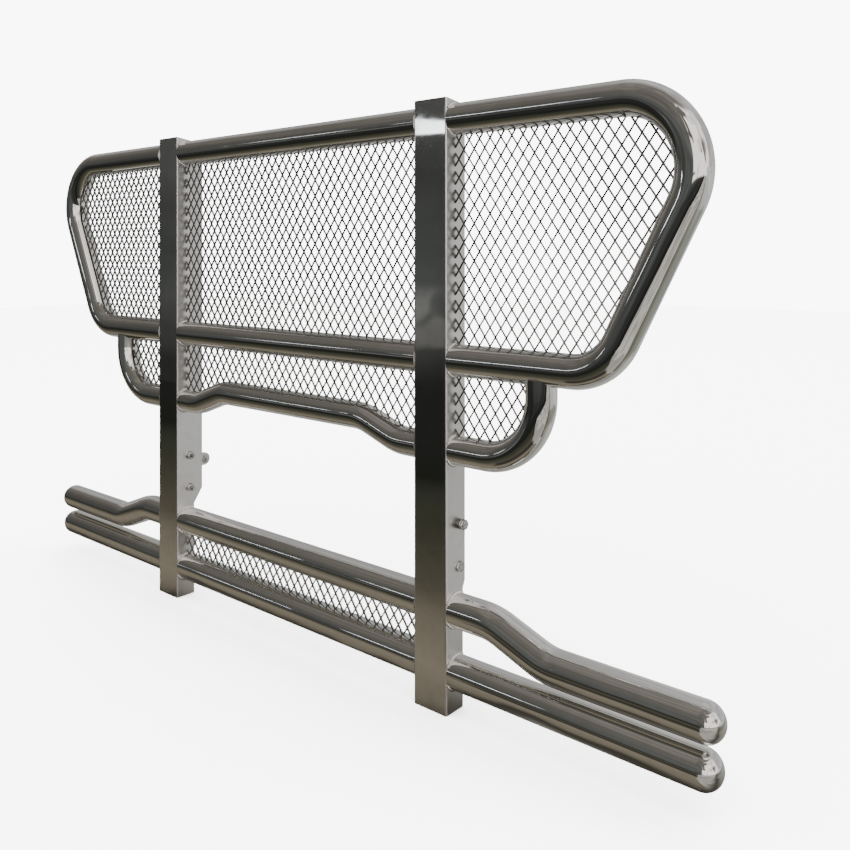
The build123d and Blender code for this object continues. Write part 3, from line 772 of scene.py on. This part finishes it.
def both_sides(shape):
    """Adds the mirror image of everything made so far, for the other post."""
    geom = list(shape.verts) + list(shape.edges) + list(shape.faces)
    twin = bmesh.ops.duplicate(shape, geom=geom)["geom"]
    bmesh.ops.scale(shape, vec=(-1, 1, 1), verts=[g for g in twin if isinstance(g, bmesh.types.BMVert)])
    bmesh.ops.remove_doubles(shape, verts=shape.verts, dist=0.000002)
    return shape


for name, height, lifted in (("lower", lower_z, 0.0), ("upper", upper_z, spacer_long)):
    shape = bmesh.new()
    seat = post_out + lifted + washer_thick
    hexagon(shape, (seat, flange_y, height), head_high)
    turned(shape, [(0.0001, 0.0085), (-0.0004, 0.0085), (-0.0004, 0)], (seat + head_high, flange_y, height))
    thread_end = post_in - washer_thick - nut_high - thread_out
    threaded(shape, (thread_end, flange_y, height), seat - thread_end)
    put(both_sides(shape), name + "_bolts", bolt_steel, name + "_flange_bolts", smooth=35)

shape = bmesh.new()
for height in (lower_z, upper_z):
    hexagon(shape, (post_in - washer_thick - nut_high, flange_y, height), nut_high)
put(both_sides(shape), "nuts", bolt_steel, "flange_nuts", smooth=35)

shape = bmesh.new()
ring = [
    (0, 0.0062),
    (0, 0.0117),
    (0.0003, 0.012),
    (0.0017, 0.012),
    (washer_thick, 0.0117),
    (washer_thick, 0.0062),
    (0, 0.0062),
]
for place, height in (
    (post_out, lower_z),
    (post_out + spacer_long, upper_z),
    (post_in - washer_thick, lower_z),
    (post_in - washer_thick, upper_z),
):
    turned(shape, ring, (place, flange_y, height))
put(both_sides(shape), "washers", bolt_steel, "flange_washers", smooth=35)

shape = bmesh.new()
sleeve = [
    (0, 0.0065),
    (0, 0.0104),
    (0.0006, 0.011),
    (0.0094, 0.011),
    (spacer_long, 0.0104),
    (spacer_long, 0.0065),
    (0, 0.0065),
]
turned(shape, sleeve, (post_out, flange_y, upper_z))
put(both_sides(shape), "spacers", spacer_steel, "flange_spacers", smooth=35)

# ---------------------------------------------------------------- bracket lugs
# A thick lug is welded inside each inner flange and reaches out behind it, with one more
# hex bolt and nut ready to take the truck's own bracket.
lug_low, lug_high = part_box("lug_bolts")
lug_y = (lug_low.y + lug_high.y) / 2
lug_z = (lug_low.z + lug_high.z) / 2
lug_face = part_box("right_bracket_lug")[0].x
lug_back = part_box("right_bracket_lug")[1].x
shape = bmesh.new()
lug_thread_out = 0.004
hexagon(shape, (lug_back, lug_y, lug_z), head_high)
threaded(
    shape,
    (lug_face - nut_high - lug_thread_out, lug_y, lug_z),
    lug_back - lug_face + nut_high + lug_thread_out,
)
put(both_sides(shape), "lug_bolt_pair", bolt_steel, "lug_bolts", smooth=35)
shape = bmesh.new()
hexagon(shape, (lug_face - nut_high, lug_y, lug_z), nut_high)
put(both_sides(shape), "lug_nut_pair", bolt_steel, "lug_nuts", smooth=35)

# ---------------------------------------------------------------- welds
# Every tube end is butted on a post and run round with a weld, a row of small overlapping
# puddles left bright. The bead stops at the flange's front fold and at its rear edge.
weld_steel = mirror_polish(
    "weld_steel", (0.88, 0.875, 0.86), (0.80, 0.79, 0.77), haze=0.07, wave=0.1, wave_scale=90.0
)
foot_depth = 0.057
outer_depth = 0.064
inner_depth = 0.084
puddle_step = 0.0030
puddle_out = 0.0008
fold_gap = 0.003
rear_gap = 0.002
shape = bmesh.new()
for centre_y, centre_z, radius, outer, inner in (
    (tube_y, top_z, loop_r, outer_depth, inner_depth),
    (tube_y, mid_z, loop_r, outer_depth, inner_depth),
    (tube_y, bar_z, bar_r, outer_depth, inner_depth),
    (bump_y, bump_up_z, bump_r, foot_depth, foot_depth),
    (bump_y, bump_low_z, bump_r, foot_depth, foot_depth),
):
    for wall, inward, depth in ((post_out, 1, outer), (post_in, -1, inner)):
        bead = bmesh.new()
        count = round(2 * math.pi * radius / puddle_step)
        for k in range(count):
            angle = 2 * math.pi * k / count
            drop_y = centre_y + (radius + puddle_out) * math.cos(angle)
            drop_z = centre_z + (radius + puddle_out) * math.sin(angle)
            if not fold_gap < drop_y < depth - rear_gap:
                continue
            lie = Matrix.Rotation(angle, 4, "X") @ Matrix.Rotation(inward * math.radians(45), 4, "Z")
            puddle = Matrix.Translation((wall + inward * 0.0006, drop_y, drop_z)) @ lie
            puddle = puddle @ Matrix.Diagonal((0.0030, 0.0044, 0.0024, 1))
            bmesh.ops.create_uvsphere(bead, u_segments=8, v_segments=5, radius=1, matrix=puddle)
        ring = bpy.data.meshes.new("bead")
        bead.to_mesh(ring)
        shape.from_mesh(ring)
        bpy.data.meshes.remove(ring)
put(both_sides(shape), "weld_beads", weld_steel, "post_welds", smooth=60)
